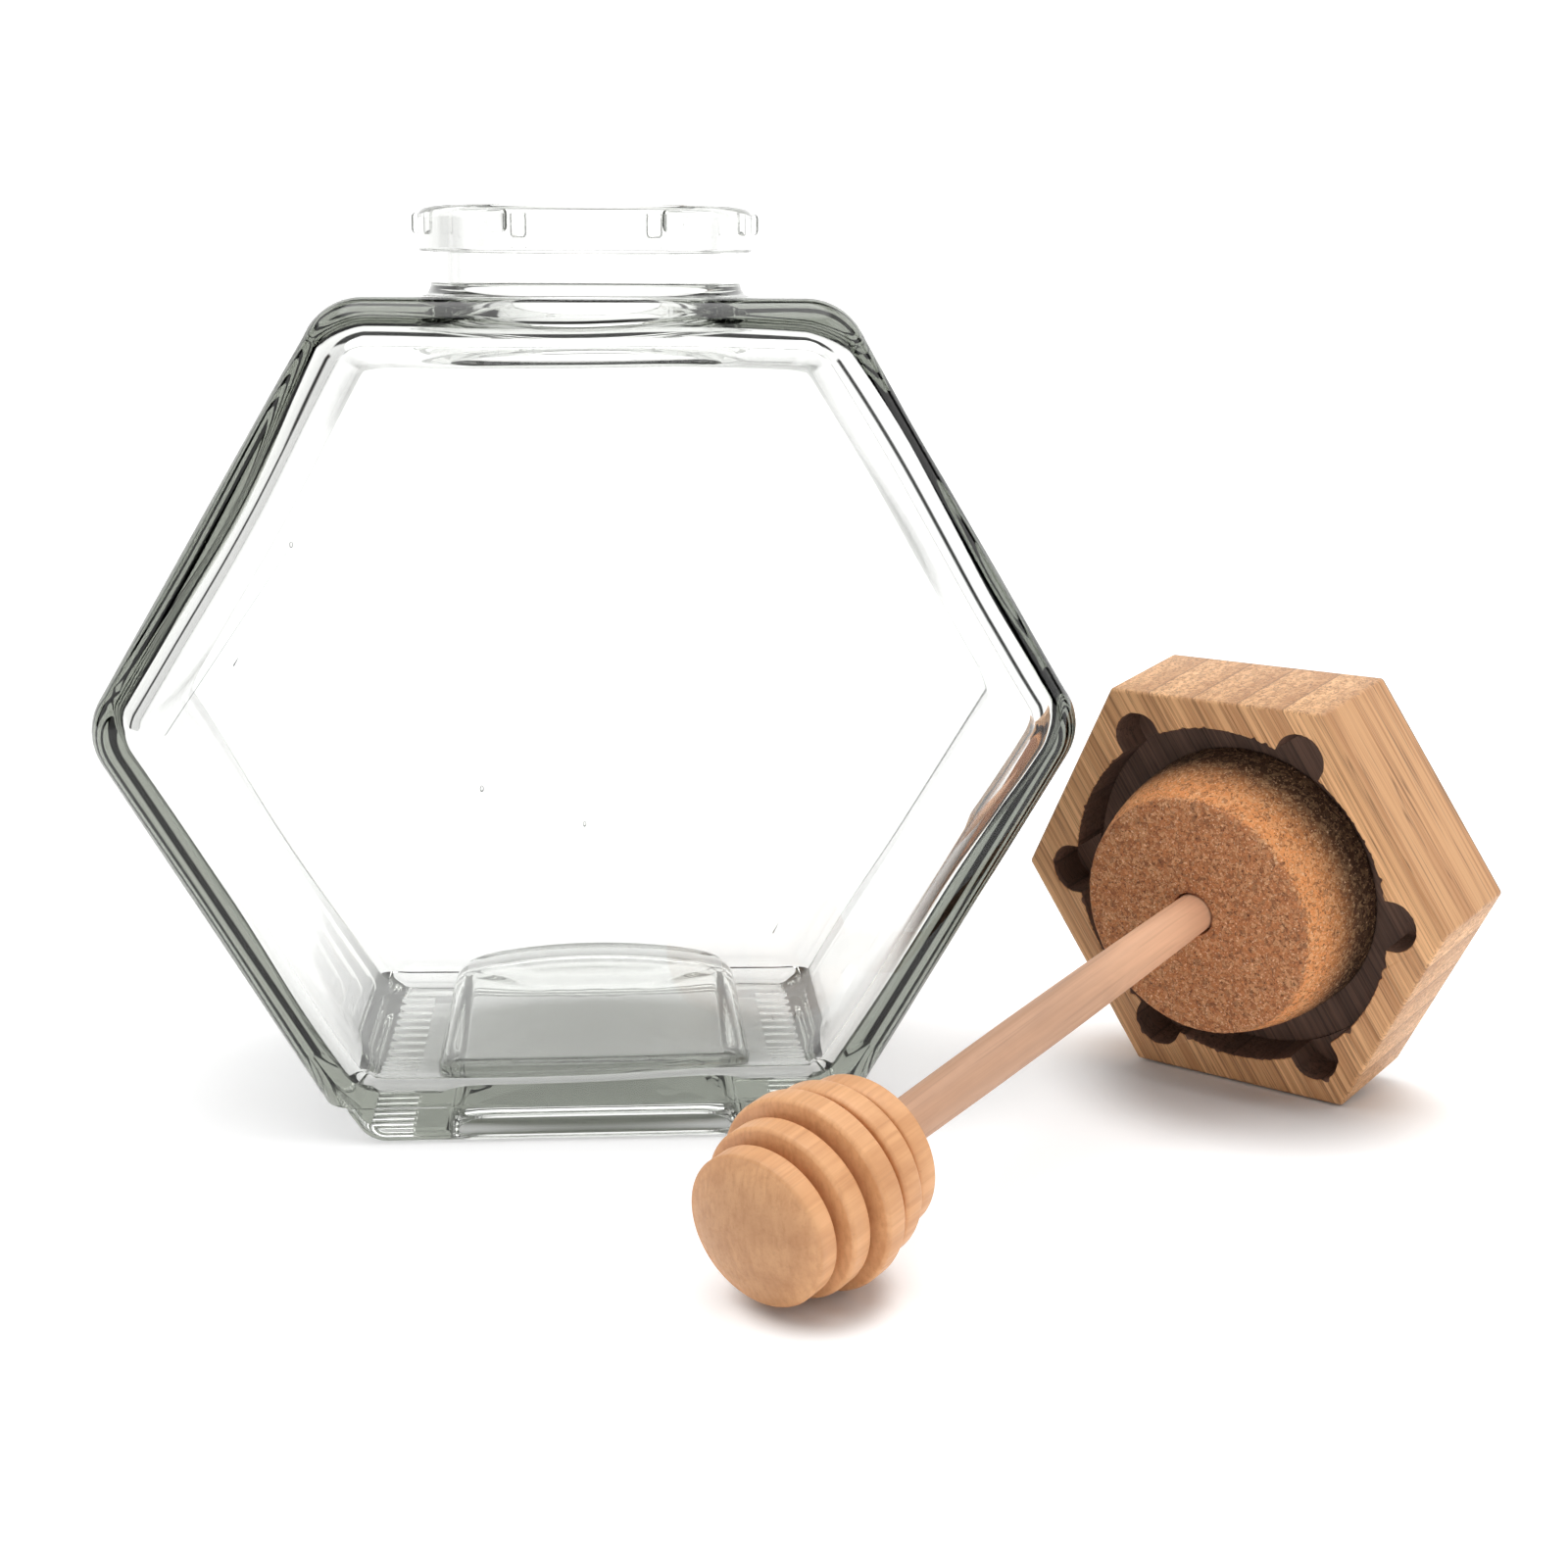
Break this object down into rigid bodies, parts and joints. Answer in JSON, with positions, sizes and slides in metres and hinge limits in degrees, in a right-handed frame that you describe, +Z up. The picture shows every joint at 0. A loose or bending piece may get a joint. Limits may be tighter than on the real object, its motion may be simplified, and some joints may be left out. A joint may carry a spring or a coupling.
{
  "type": "honey dispenser jar",
  "caption": "Flat hexagonal clear glass honey jar with its bamboo lid, cork stopper and wooden honey dipper lying beside it.",
  "frame": {"origin": "centre of the set's footprint, on the surface that it stands on", "axes": "+Z up through the jar's mouth, +X to the right along the jar's width, towards the lid, +Y from the jar's front face to its back"},
  "size_m": [0.1674, 0.1148, 0.1093],
  "materials": {
    "clear_glass": "clear",
    "laminated_bamboo": "satin",
    "pressed_cork": "matte",
    "pale_stick_wood": "matte",
    "turned_beech": "satin"
  },
  "bodies": {
    "root": {"jar": "clear_glass", "lid": "laminated_bamboo", "cork": "pressed_cork", "dipper_stick": "pale_stick_wood", "dipper_head": "turned_beech"}
  },
  "joints": []
}
